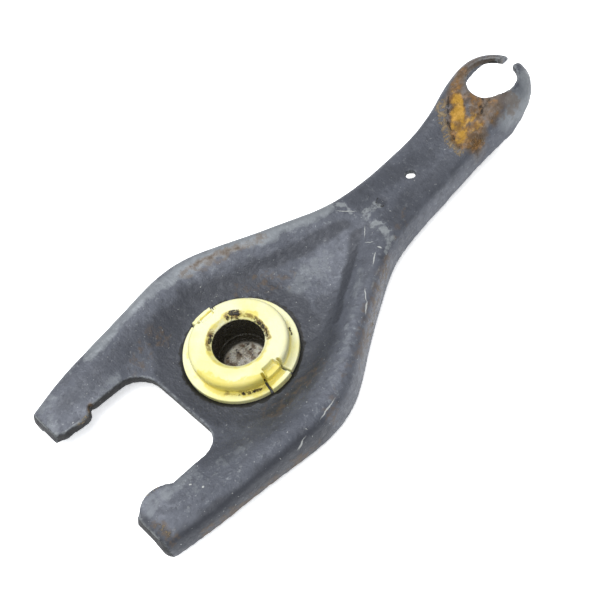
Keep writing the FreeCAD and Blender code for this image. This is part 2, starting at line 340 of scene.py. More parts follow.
class Layers:
    """A material that is built up in layers: its node tree, its colour so far and its relief."""

    def __init__(self, name: str, base: str, marks: tuple[Mark, ...]) -> None:
        """Start with one plain colour.

        Args:
            name: name of the material.
            base: its lowest colour, as a hex code.
            marks: what the surface carries.
        """
        self.material = bpy.data.materials.new(name)
        self.material.use_nodes = True
        self.tree = self.material.node_tree
        self.tree.nodes.clear()
        self.place = add_node(self.tree, "ShaderNodeTexCoord").outputs["Object"]
        self.carried: dict[Mark, bpy.types.NodeSocket] = {
            mark: add_node(self.tree, "ShaderNodeAttribute", {"attribute_name": mark.value}).outputs["Fac"]
            for mark in marks
        }
        self.colour: Any = hex_colour(base)
        self.normal: Optional[bpy.types.NodeSocket] = None

    def blots(self, size: float, low: float = 0.3, high: float = 0.7, detail: float = 4.0) -> bpy.types.Node:
        """Cloudy blots from 0 to 1.

        Args:
            size: width of the largest blots in millimetres.
            low: noise below this is outside the blots.
            high: noise above this is well inside them.
            detail: octaves of finer pattern.

        Returns:
            The node that gives the pattern.
        """
        noise = add_node(
            self.tree, "ShaderNodeTexNoise", None,
            {"Vector": self.place, "Scale": per_mm(size), "Detail": detail, "Roughness": BLOT_ROUGHNESS},
        )
        return add_node(
            self.tree, RAMP, EASED, {"Value": noise.outputs[0], "From Min": low, "From Max": high}
        )

    def cover(self, mark: Mark, pattern: bpy.types.Node, soft: float) -> bpy.types.Node:
        """Break up the cover that a mark gives, so that its border falls into blots.

        Args:
            mark: what covers the surface.
            pattern: blots from 0 to 1.
            soft: width of the blots' edges.

        Returns:
            The node that gives the cover, from 0 to 1.
        """
        inputs = {0: self.carried[mark], 1: 2.0, 2: pattern}
        reach = add_node(self.tree, MATH, MULTIPLY_ADD, inputs)
        return add_node(
            self.tree, RAMP, EASED, {"Value": reach, "From Min": 1.0, "From Max": 1.0 + soft}
        )

    def lay(self, colour: str, cover: Any, strength: float = 1.0) -> None:
        """Lay a colour over what is there.

        Args:
            colour: hex code of the colour.
            cover: node or socket that gives the cover.
            strength: how much of the colour a full cover shows.
        """
        thin = add_node(self.tree, MATH, MULTIPLY, {0: cover, 1: strength})
        pair = {0: thin, MIX_A: self.colour, MIX_B: hex_colour(colour)}
        mixed = add_node(self.tree, "ShaderNodeMix", {"data_type": "RGBA"}, pair)
        self.colour = mixed.outputs[MIX_OUT]

    def raise_by(self, depth: float, height: Any, where: Any = 1.0) -> None:
        """Add relief.

        Args:
            depth: its height in millimetres.
            height: node or socket that gives its pattern from 0 to 1.
            where: how much of it shows.
        """
        shown = add_node(self.tree, MATH, MULTIPLY, {0: height, 1: where})
        inputs = {"Height": shown, "Distance": depth * MM}
        if self.normal is not None:
            inputs["Normal"] = self.normal
        self.normal = add_node(self.tree, "ShaderNodeBump", None, inputs).outputs["Normal"]

    def scored(self, scratches: list[Scratch]) -> bpy.types.Node:
        """Find where any of several thin lines runs.

        Args:
            scratches: the lines.

        Returns:
            The node that gives 1 on a line and 0 off it.
        """
        noise = {"Vector": self.place, "Scale": per_mm(SCRATCH_WAVE), "Detail": 2.0}
        wobble = add_node(self.tree, "ShaderNodeTexNoise", None, noise).outputs["Color"]
        middle = (0.5, 0.5, 0.5)
        centred = add_node(self.tree, VECTOR_MATH, {"operation": "SUBTRACT"}, {0: wobble, 1: middle})
        stray = (SCRATCH_STRAY * MM,) * 3
        shifted = add_node(
            self.tree, VECTOR_MATH, MULTIPLY_ADD, {0: centred, 1: stray, 2: self.place}
        )
        total: Any = 0.0
        for line in scratches:
            start, end = Vector(line.start), Vector(line.end)
            run = end - start
            oval = add_node(
                self.tree, "ShaderNodeMapping", {"vector_type": "TEXTURE"},
                {"Vector": shifted, "Location": (start + end) / 2 * MM,
                 "Rotation": (0.0, 0.0, math.atan2(run.y, run.x)),
                 "Scale": (run.length / 2 * MM, line.width / 2 * MM, SCRATCH_HEIGHT * MM)},
            )
            away = add_node(self.tree, VECTOR_MATH, {"operation": "LENGTH"}, {0: oval})
            begin, full = SCRATCH_FADE
            limits = {"Value": away.outputs["Value"], "From Min": begin, "From Max": full}
            on_line = add_node(self.tree, RAMP, EASED, limits)
            total = add_node(self.tree, MATH, MAXIMUM, {0: on_line, 1: total})
        return total

    def close(self, inputs: dict[str, Any]) -> bpy.types.Material:
        """Join the layers to a shader and its output.

        Args:
            inputs: what the shader takes besides its colour and relief.

        Returns:
            The finished material.
        """
        shader = add_node(
            self.tree, "ShaderNodeBsdfPrincipled", None,
            {"Base Color": self.colour, "Normal": self.normal, **inputs},
        )
        add_node(self.tree, "ShaderNodeOutputMaterial", None, {"Surface": shader})
        return self.material


@dataclass(frozen=True)
class PhosphatedSteel:
    """Drawing-quality sheet steel, pressed, then phosphated and oiled.

    The eye sees a blue-grey to slate skin with a soft broad sheen, mottled where the crystals have worn,
    paler on every outward bend (edge wear with a painted highlight), darker in its hollows, near black on
    the upright cut walls and the tine ends (painted shade), and rusted by the eye.
    """

    slate: str = "464a54"
    pale: str = "5d616b"
    deep: str = "2c2e35"
    oily_and_shade: str = "292c34"
    lifted: str = "9ba1a5"
    worn: str = "8e9396"
    fleck: str = "c3c6c4"
    brown: str = "66543e"
    # painted shade: near black for the upright cut walls and the tine ends
    sheared: str = "151516"
    grease: str = "14120f"
    rust_dark: str = "4c3a26"
    rust_film: str = "6a563c"
    rust_mid: str = "86602c"
    rust_light: str = "bd9030"
    deposit: str = "a8936f"
    metallic: float = 0.3
    roughness: float = 0.42
    mottle_rough: float = 0.16   # how much rougher the mottling leaves it
    dry_rough: float = 0.3       # how much rougher rust, deposit and the cut walls are

    def build(self, scratches: list[Scratch]) -> bpy.types.Material:
        """Make the material.

        Args:
            scratches: the lines scored into the piece.

        Returns:
            The material.
        """
        marks = STEEL_BANDS + (Mark.EDGE, Mark.HOLLOW, Mark.SHADED_CUT_WALL)
        skin = Layers("phosphated_sheet_steel", self.slate, marks)
        # Phosphate crystals are some hundredths of a millimetre across, too fine to show, so the
        # mottling that they give is drawn at one to a few. The widest blots are patches of wear.
        broad = skin.blots(28.0, 0.36, 0.64, 3.0)
        blots = skin.blots(6.5)
        mottle = skin.blots(2.4, 0.32, 0.68)
        grain = skin.blots(1.1, 0.3, 0.7, 3.0)

        skin.lay(self.pale, broad, 0.85)
        skin.lay(self.deep, skin.blots(7.0, 0.5, 0.74, 5.0), 0.4)
        skin.lay(self.deep, skin.blots(2.0, 0.5, 0.72), 0.42)
        skin.lay(self.lifted, skin.blots(1.6, 0.56, 0.74, 5.0), 0.34)
        skin.lay(self.lifted, skin.cover(Mark.FROST, blots, 1.3), 0.34)
        skin.lay(self.lifted, skin.cover(Mark.FROST, mottle, 0.5), 0.2)
        # Oil-darkened finish, and painted shade in the valleys beside the ribs.
        skin.lay(self.oily_and_shade, skin.carried[Mark.DULL_AND_SHADE], 0.72)
        skin.lay(self.oily_and_shade, skin.cover(Mark.DULL_AND_SHADE, skin.blots(9.0, 0.1, 0.9), 1.3), 0.4)
        skin.lay(self.deep, skin.carried[Mark.HOLLOW], 0.6)
        # Painted shade: the upright cut walls and the tine ends are laid near black.
        sheared = skin.carried[Mark.SHADED_CUT_WALL]
        skin.lay(self.sheared, sheared, 0.95)
        skin.lay(self.brown, skin.cover(Mark.STAIN, mottle, 0.9), 0.5)
        skin.lay(self.fleck, skin.blots(0.9, 0.69, 0.75, 2.0), 0.5)
        # Paler on outward bends: edge wear with a painted highlight.
        skin.lay(self.worn, skin.cover(Mark.EDGE, grain, 1.4), 0.5)
        # Rubbed down to grey, and the painted highlights along the tine ends.
        bare = skin.cover(Mark.BARE_AND_HIGHLIGHT, mottle, 0.8)
        skin.lay(self.worn, bare, 0.72)
        scored = skin.scored(scratches)
        skin.lay(self.fleck, scored, 0.75)

        crust = skin.cover(Mark.CRUST, grain, 0.9)
        skin.lay(self.deposit, crust, 0.75)
        skin.lay(self.rust_film, skin.carried[Mark.RUST], 0.85)
        rust = skin.cover(Mark.RUST, mottle, 1.5)
        skin.lay(self.rust_dark, rust, 0.7)
        skin.lay(self.rust_mid, skin.cover(Mark.RUST, skin.blots(2.6, 0.4, 0.8), 1.0), 0.85)
        skin.lay(self.rust_light, skin.cover(Mark.YELLOW, skin.blots(3.4, 0.3, 0.7, 6.0), 0.95), 0.9)
        # Black grease and dust, and painted shade where the grime mark holds it: round the bush and in the
        # eye's bore.
        skin.lay(self.grease, skin.cover(Mark.GRIME_AND_SHADE, mottle, 0.45), 0.85)

        # Rust, deposit and the cut walls are rough and have no metal's shine.
        dry = add_node(skin.tree, MATH, MAXIMUM, {0: rust, 1: crust})
        dry = add_node(skin.tree, MATH, MAXIMUM, {0: dry, 1: sheared})
        shine = {0: dry, 1: -self.metallic, 2: self.metallic}
        metallic = add_node(skin.tree, MATH, MULTIPLY_ADD, shine)
        uneven = {0: mottle, 1: self.mottle_rough, 2: self.roughness}
        rough = add_node(skin.tree, MATH, MULTIPLY_ADD, uneven)
        chalky = {0: dry, 1: self.dry_rough, 2: rough}
        rough = add_node(skin.tree, MATH, MULTIPLY_ADD, chalky)

        skin.raise_by(0.10, blots)
        skin.raise_by(0.07, mottle)
        skin.raise_by(0.035, grain)
        skin.raise_by(0.18, grain, rust)
        skin.raise_by(0.25, grain, crust)
        skin.raise_by(-0.06, scored)
        skin.raise_by(-0.12, grain, bare)
        return skin.close({"Metallic": metallic, "Roughness": rough})


@dataclass(frozen=True)
class MouldedNylon:
    """Natural polyamide 6.6, injection moulded and yellowed by heat and grease.

    The eye sees a milky lemon cream with a little light inside it and a satin face, yellowed in the thin
    and rubbed places, deeper yellow as painted shade in its hollows and on the boss's wall facing the lens,
    a rubbed socket floor lightened to near white as painted light, and black grease with dust packed into
    the socket and the groove.
    """

    cream: str = "f5f1a9"
    milk: str = "faf8cb"
    amber: str = "ecda52"
    toast: str = "6b4a22"
    grease: str = "0d0b09"
    # painted light: the clean socket floor is laid near white, lighter than the nylon
    floor: str = "fffaea"
    roughness: float = 0.38
    mottle_rough: float = 0.14   # how much rougher the mottling leaves it
    wet_rough: float = -0.14     # grease makes it this much smoother
    ior: float = 1.53
    inner_light: float = 0.12
    light_reach: Triple = (1.0, 0.8, 0.4)
    light_depth: float = 1.5     # in millimetres, as are the three below
    rubbed_fade: float = 0.5     # half width of the soft border of the clean floor
    rubbed_rise: float = 0.6     # how far up the wall it fades out
    rubbed_depth: float = 3.8    # how far below the top of the floor it goes on

    def build(self, floor_radius: float, floor_top: float) -> bpy.types.Material:
        """Make the material.

        Args:
            floor_radius: radius of the floor of the socket that the ball has rubbed clean, in millimetres.
            floor_top: height below which that floor lies, in millimetres.

        Returns:
            The material.
        """
        skin = Layers("moulded_natural_nylon", self.cream, NYLON_BANDS + (Mark.HOLLOW,))
        # The mould's grain and dust are finer than a tenth of a millimetre, too fine to show, so the
        # finest patterns are drawn at about one. The others are patches of yellowing and dirt.
        blots = skin.blots(3.2)
        mottle = skin.blots(1.6)
        grain = skin.blots(0.8, 0.3, 0.7, 3.0)

        skin.lay(self.milk, skin.blots(14.0, 0.36, 0.62, 2.0))
        # Painted shade: deeper yellow where the surface bends inwards.
        skin.lay(self.amber, skin.carried[Mark.HOLLOW], 0.6)
        skin.lay(self.amber, skin.cover(Mark.AMBER_AND_SHADE, blots, 0.9), 0.7)
        skin.lay(self.toast, skin.cover(Mark.TOAST, mottle, 1.4), 0.85)
        skin.lay(self.toast, skin.blots(1.0, 0.7, 0.76, 2.0), 0.3)
        grime = skin.cover(Mark.GRIME_AND_SHADE, grain, 0.9)
        skin.lay(self.toast, skin.cover(Mark.GRIME_AND_SHADE, mottle, 0.8), 0.7)
        skin.lay(self.grease, grime, 0.96)

        # The ball keeps the floor of the socket clean: inside a radius and between two heights.
        split = add_node(skin.tree, "ShaderNodeSeparateXYZ", None, {0: skin.place})
        across = {0: split.outputs[0], 1: split.outputs[1]}
        flat = add_node(skin.tree, "ShaderNodeCombineXYZ", None, across)
        away = add_node(skin.tree, VECTOR_MATH, {"operation": "LENGTH"}, {0: flat}).outputs["Value"]
        height, underside = split.outputs[2], floor_top - self.rubbed_depth
        rubbed: Any = 1.0
        for value, outside, inside in (
            (away, floor_radius + self.rubbed_fade, floor_radius - self.rubbed_fade),
            (height, floor_top + self.rubbed_rise, floor_top),
            (height, underside - self.rubbed_fade, underside),
        ):
            limits = {"Value": value, "From Min": outside * MM, "From Max": inside * MM}
            within = add_node(skin.tree, RAMP, EASED, limits)
            rubbed = add_node(skin.tree, MATH, MULTIPLY, {0: within, 1: rubbed})
        # Painted light: the clean floor is laid near white, lighter than the nylon, for the light falling
        # into the socket.
        skin.lay(self.floor, rubbed)
        streaks, specks = skin.blots(2.6, 0.38, 0.62, 5.0), skin.blots(1.8, 0.56, 0.66, 5.0)
        for colour, pattern, strength in ((self.toast, streaks, 0.85), (self.grease, specks, 0.95)):
            shown = add_node(skin.tree, MATH, MULTIPLY, {0: rubbed, 1: pattern})
            skin.lay(colour, shown, strength)

        uneven = {0: mottle, 1: self.mottle_rough, 2: self.roughness}
        rough = add_node(skin.tree, MATH, MULTIPLY_ADD, uneven)
        greased = {0: grime, 1: self.wet_rough, 2: rough}
        rough = add_node(skin.tree, MATH, MULTIPLY_ADD, greased)
        skin.raise_by(0.05, blots)
        skin.raise_by(0.02, grain)
        skin.raise_by(0.25, grain, grime)
        skin.raise_by(0.12, grain, rubbed)
        return skin.close({
            "Roughness": rough, "IOR": self.ior, "Subsurface Weight": self.inner_light,
            "Subsurface Radius": self.light_reach, "Subsurface Scale": self.light_depth * MM,
        })


class WornPiece:
    """A worn copy of one CAD node: the same form with softened edges and the marks of use."""

    def __init__(self, node: str, name: str, voxel: float, soften: int) -> None:
        """Copy the node, merge its loose triangles and rebuild it as one even skin.

        Args:
            node: name of the CAD node.
            name: name of the new piece.
            voxel: spacing of the even skin, in millimetres.
            soften: passes of smoothing over it.
        """
        bpy.ops.object.select_all(action="DESELECT")
        source = frame["nodes"][node]
        source.select_set(True)
        bpy.context.view_layer.objects.active = source
        bpy.ops.object.duplicate()
        self.node = node
        self.piece = bpy.context.view_layer.objects.active
        self.piece.name = name
        self.piece.data.name = name
        self.piece.parent = None
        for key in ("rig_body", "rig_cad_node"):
            if key in self.piece:
                del self.piece[key]
        bpy.ops.object.mode_set(mode="EDIT")
        bpy.ops.mesh.select_all(action="SELECT")
        bpy.ops.mesh.remove_doubles(threshold=MERGE_GAP * MM)
        bpy.ops.object.mode_set(mode="OBJECT")
        self.apply("REMESH", mode="VOXEL", voxel_size=voxel * MM)
        self.apply("SHRINKWRAP", target=source, wrap_method="NEAREST_SURFACEPOINT")
        self.apply("SMOOTH", factor=SOFTENING, iterations=soften)

    def apply(self, kind: str, **settings: Any) -> None:
        """Add a modifier to the piece and apply it.

        Args:
            kind: Blender's name for the modifier type.
            settings: its settings.
        """
        bpy.context.view_layer.objects.active = self.piece
        modifier = self.piece.modifiers.new(kind.lower(), kind)
        for name, value in settings.items():
            setattr(modifier, name, value)
        bpy.ops.object.modifier_apply(modifier=modifier.name)

    def unevenness(self, size: float, depth: float) -> None:
        """Give the skin the slight waves of a real pressing or moulding.

        Args:
            size: width of the waves in millimetres.
            depth: how far they move the skin in all, in millimetres.
        """
        waves = bpy.data.textures.new(self.piece.name + "_waves", "CLOUDS")
        waves.noise_scale = size * MM
        self.apply("DISPLACE", texture=waves, texture_coords="LOCAL", strength=depth * MM, mid_level=0.5)

    def points(self) -> np.ndarray:
        """Positions of all vertices, in millimetres."""
        flat = np.empty(len(self.piece.data.vertices) * 3)
        self.piece.data.vertices.foreach_get("co", flat)
        return flat.reshape(-1, 3) / MM

    def move(self, points: np.ndarray) -> None:
        """Put the vertices at new positions in millimetres, none outside the CAD node's own box."""
        low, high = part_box(self.node)
        kept = np.clip(points * MM, np.array(low), np.array(high))
        self.piece.data.vertices.foreach_set("co", kept.ravel())
        self.piece.data.update()

    def normals(self) -> np.ndarray:
        """Unit normals of all vertices."""
        flat = np.empty(len(self.piece.data.vertices) * 3)
        self.piece.data.vertex_normals.foreach_get("vector", flat)
        return flat.reshape(-1, 3)

    def store(self, mark: Mark, values: np.ndarray) -> None:
        """Keep how strongly each vertex carries a mark."""
        layer = self.piece.data.attributes.new(mark.value, "FLOAT", "POINT")
        layer.data.foreach_set("value", values.astype(np.float32))

    def bends(self, radius: float, passes: int) -> None:
        """Store how sharply the skin bends outwards and inwards.

        Args:
            radius: bend radius in millimetres that counts as fully sharp.
            passes: how often the result is averaged with its neighbours.
        """
        points, normals = self.points(), self.normals()
        pairs = np.empty(len(self.piece.data.edges) * 2, dtype=np.int64)
        self.piece.data.edges.foreach_get("vertices", pairs)
        a, b = pairs.reshape(-1, 2).T
        run = points[b] - points[a]
        square = np.maximum((run * run).sum(1), 1e-9)
        count = np.bincount(a, minlength=len(points)) + np.bincount(b, minlength=len(points))
        bend = np.bincount(a, -(normals[a] * run).sum(1) / square, len(points))
        bend += np.bincount(b, (normals[b] * run).sum(1) / square, len(points))
        bend /= np.maximum(count, 1)
        for _ in range(passes):
            near = np.bincount(a, bend[b], len(points)) + np.bincount(b, bend[a], len(points))
            bend = 0.5 * bend + 0.5 * near / np.maximum(count, 1)
        sharp = BEND_SHARE / radius
        self.store(Mark.EDGE, np.clip(bend / sharp - EDGE_FROM, 0, 1))
        self.store(Mark.HOLLOW, np.clip(-bend / sharp - HOLLOW_FROM, 0, 1))

    def mark(
        self, bands: list[Band], kinds: tuple[Mark, ...], extra: dict[Mark, np.ndarray]
    ) -> None:
        """Store the cover of each kind of mark.

        Args:
            bands: all bands on the piece.
            kinds: the kinds that its finish reads.
            extra: cover that is worked out apart from the bands.
        """
        points = self.points()
        drift = np.stack([
            sum(strength * clouds(points, size, axis + seed) for strength, size, seed in DRIFTS)
            for axis in (1, 2, 3)
        ], axis=1)
        for kind in kinds:
            cover = extra.get(kind, np.zeros(len(points)))
            for band in bands:
                if band.mark is kind:
                    cover = np.maximum(cover, band.weight(points, drift))
            self.store(kind, cover)

    def dress(self, material: bpy.types.Material) -> None:
        """Give the piece its finish and its place in the record.

        Args:
            material: its finish.
        """
        self.piece.data.materials.clear()
        self.piece.data.materials.append(material)
        bpy.ops.object.select_all(action="DESELECT")
        self.piece.select_set(True)
        bpy.context.view_layer.objects.active = self.piece
        bpy.ops.object.shade_smooth()
        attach(self.piece, "root")
        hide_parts(self.node)
        triangles = sum(len(face.vertices) - 2 for face in self.piece.data.polygons)
        log.info("%s: %d triangles", self.piece.name, triangles)


@dataclass
class ForkPressing:
    """The steel pressing: dished body, two tines with pads, arm and open cable eye."""

    voxel: float = 0.57
    eye_x: float = 126.2
    eye_r: float = 8.7
    pilot_x: float = 83.0
    pilot_r: float = 1.7
    pilot_top: float = 7.0
    press_mark_x: float = 68.5
    press_mark_r: float = 1.8
    slot_x: float = -26.0
    slot_half: float = 19.5
    tip_x: float = -61.0
    tip_low: float = 3.0     # heights of the lower and upper edge of a tine's end
    tip_high: float = 7.0
    tip_slant: float = 1.4
    tip_run: float = 12.0    # length of the tine over which the slant dies out
    torn_from: float = 1.0   # the tear starts this far below the top of the locating hole
    torn_depth: float = 2.5
    torn_r: float = 7.0
    torn_by: float = 1.8
    seat_r: float = 19.6
    seat_ring: float = 1.5   # half width of the dark ring round the bush: painted contact shadow and grease
    seat_shadow_and_grease: float = 0.9
    # Painted shade on the cut walls and the tine ends: how far it reaches and how dark it is.
    wall_lean: float = 0.25  # a wall leaning less gets the full painted shade, and at twice this none
    wall_reach: float = 1.5  # how far outside the slot's own lines its walls may lie
    eye_reach: float = 0.8   # and the same for the eye's bore
    eye_dark: float = 0.45
    end_facing: float = 0.45  # a tine's end faces -X by more than this share
    end_fade: float = 0.2
    end_reach: float = 1.0
    end_dark: float = 0.9
    wave: float = 16.0
    wave_depth: float = 0.35
    edge_r: float = 0.9      # radius of the worn edges
    dents: tuple[Dent, ...] = (
        Dent((-54.0, 16.6), (3.8, 2.6), (0.0, 1.5)),  # inner corner of the pad, knocked back
        Dent((-46.2, 18.4), (1.0, 1.7), (0.0, 1.5)),  # notch where the pad meets the slot
        Dent((-59.5, 18.0), (2.0, 2.0), (0.6, 0.0)),  # outer corner of the pad
    )
    finish: PhosphatedSteel = field(default_factory=PhosphatedSteel)

    def eye_bands(self) -> list[Band]:
        """Rust, crust and grime on the ramp, the eye's arms and bore, and painted shadow in the bore."""
        x, bore = self.eye_x, self.eye_r + 0.1
        return [
            Band(Mark.YELLOW, ((112.2, 4.4, 14.2), (107.6, 0.0, 11.3), (104.2, -5.8, 10.2)), 2.3, 0.6),
            Band(Mark.YELLOW, ((105.6, -5.4, 10.8), (109.5, -7.0, 12.4)), 2.2, 0.4),
            Band(Mark.YELLOW, ((108.6, -2.6, 12.2), (111.8, -3.2, 13.2)), 1.8, 0.42),
            Band(Mark.YELLOW, ((113.5, 6.4, 15.2), (117.5, 7.8, 16.8)), 1.6, 0.36),
            Band(Mark.RUST, ((112.6, 5.0, 14.6), (106.4, -1.4, 11.0), (103.6, -6.6, 10.0)), 3.2, 0.7),
            Band(Mark.RUST, ((116.4, -2.0, 16.0), (110.4, -6.0, 12.8), (105.2, -9.4, 10.2)), 3.4, 0.62),
            Band(Mark.RUST, ((118.6, -6.0, 17.0), (114.5, -9.6, 14.8)), 2.8, 0.46),
            Band(Mark.RUST, ((112.0, 6.6, 14.6), (117.0, 7.8, 16.8), (122.5, 10.0, 17.8)), 2.5, 0.62),
            Band(Mark.STAIN, ((108.5, -8.5, 12.0), (113.5, -6.0, 14.5), (119.0, -7.5, 16.8),
                              (121.0, -11.5, 16.5)), 3.8, 0.7),
            Band(Mark.STAIN, ((113.0, 4.5, 15.0), (118.0, 5.8, 17.2)), 2.6, 0.6),
            Band(Mark.STAIN, arc(10.6, 62, 140, 17.2, x), 1.9, 0.6),
            Band(Mark.STAIN, arc(bore, 22, 160, 15.6, x), 1.5, 0.9),
            Band(Mark.RUST, arc(bore, 70, 128, 16.4, x), 0.8, 0.3),
            # Painted shadow: a thin black line under the edge of the bore, and a dark patch where its groove
            # ends.
            Band(Mark.GRIME_AND_SHADE, arc(bore, 46, 128, 15.2, x), 0.38, 0.5),
            Band(Mark.GRIME_AND_SHADE, arc(bore, 30, 42, 15.4, x), 0.8, 0.6),
            Band(Mark.BARE_AND_HIGHLIGHT, ((134.0, 3.8, 16.6), (139.0, 3.8, 15.5)), 0.8, 0.6),
            Band(Mark.RUST, ((112.6, 3.4, 14.4), (117.0, 1.0, 16.7), (118.6, -3.4, 17.0)), 1.9, 0.5),
            Band(Mark.YELLOW, ((111.4, 0.4, 13.2), (114.6, -1.2, 15.0)), 1.6, 0.34),
            Band(Mark.GRIME_AND_SHADE, ((114.2, -5.0, 14.4), (118.4, -5.4, 16.7)), 1.9, 0.24),
            Band(Mark.GRIME_AND_SHADE, ((112.4, 7.8, 14.4), (106.2, 2.6, 10.8), (102.2, -3.8, 9.9)), 0.45, 0.4),
            Band(Mark.GRIME_AND_SHADE, ((118.3, -2.0, 17.0), (117.2, -3.8, 16.2)), 0.4, 0.6),
            Band(Mark.CRUST, ((109.5, 9.0, 12.9), (104.4, 3.2, 10.0), (101.2, -2.6, 9.4),
                              (99.6, -8.2, 9.3)), 1.8, 0.5),
            Band(Mark.CRUST, ((103.2, -9.4, 9.6), (107.0, -11.2, 10.6)), 1.4, 0.4),
            Band(Mark.DULL_AND_SHADE, ((88.0, 2.0, 7.2), (100.0, 5.0, 9.0)), 6.0, 0.42),
            Band(Mark.DULL_AND_SHADE, ((96.0, -9.0, 8.0), (104.0, -13.0, 9.0)), 3.0, 0.42),
            Band(Mark.FROST, ((119.0, -15.0, 15.0), (128.0, -15.0, 16.0), (135.5, -10.0, 16.5)), 4.2, 0.95),
        ]

    def neck_bands(self) -> list[Band]:
        """Bare places where the ribs meet the arm, and dark valleys by the ribs: dirt and painted shade."""
        x, r = self.press_mark_x, self.press_mark_r
        top = self.pilot_top
        return [
            Band(Mark.BARE_AND_HIGHLIGHT, ((54.4, 14.6, 7.2), (58.0, 11.4, 7.6), (59.4, 8.6, 7.5)), 1.1, 0.5),
            Band(Mark.BARE_AND_HIGHLIGHT, ((59.4, 8.6, 7.5), (58.8, 5.4, 7.1)), 0.7, 0.46),
            Band(Mark.BARE_AND_HIGHLIGHT, ((66.4, 0.2, 7.2), (63.4, 1.4, 7.0), (61.0, 0.8, 6.8)), 1.7, 0.5),
            Band(Mark.BARE_AND_HIGHLIGHT, ((60.9, 0.6, 6.8), (59.6, -2.6, 6.7)), 0.8, 0.46),
            Band(Mark.BARE_AND_HIGHLIGHT, ((59.6, -4.1, 6.7), (60.0, -7.6, 7.3), (58.6, -11.2, 7.5)), 2.0, 0.56),
            Band(Mark.BARE_AND_HIGHLIGHT, ((58.6, -11.4, 7.5), (56.8, -13.4, 7.4), (53.6, -14.4, 7.5)), 0.9, 0.5),
            Band(Mark.STAIN, ((60.8, -12.5, 7.1), (68.9, -9.8, 7.3)), 2.6, 0.26),
            Band(Mark.DULL_AND_SHADE, ((x - 0.6, 0.0, top), (x + 0.6, 0.0, top)), r * 0.9, 0.7),
            Band(Mark.GRIME_AND_SHADE, arc(r + 0.1, 0, 360, top, x), 0.26, 0.5),
            Band(Mark.BARE_AND_HIGHLIGHT, arc(self.pilot_r + 0.1, 0, 360, top - 1.6, self.pilot_x), 0.8, 1.0),
            Band(Mark.BARE_AND_HIGHLIGHT, ((52.0, -15.6, 7.5), (44.0, -18.6, 7.4), (36.0, -22.6, 7.2)), 0.4, 0.24),
            # Painted shade with dirt: dark bands down the valleys on the ribs' inner slopes.
            Band(Mark.DULL_AND_SHADE, ((54.5, -1.4, 5.6), (45.0, -6.2, 3.4), (34.2, -12.4, 2.8),
                             (27.0, -17.5, 2.6)), 1.9, 0.8),
            Band(Mark.DULL_AND_SHADE, ((22.0, 19.0, 2.6), (36.0, 12.4, 3.4), (45.4, 8.4, 4.6),
                             (54.0, 4.2, 6.0)), 2.2, 0.8),
            Band(Mark.DULL_AND_SHADE, ((64.0, 5.0, 7.0), (80.0, 5.0, 7.0), (92.0, 2.0, 7.6)), 4.4, 0.52),
            Band(Mark.DULL_AND_SHADE, ((66.0, -8.0, 7.0), (82.0, -7.0, 7.0), (95.0, -8.0, 8.0)), 4.2, 0.52),
        ]

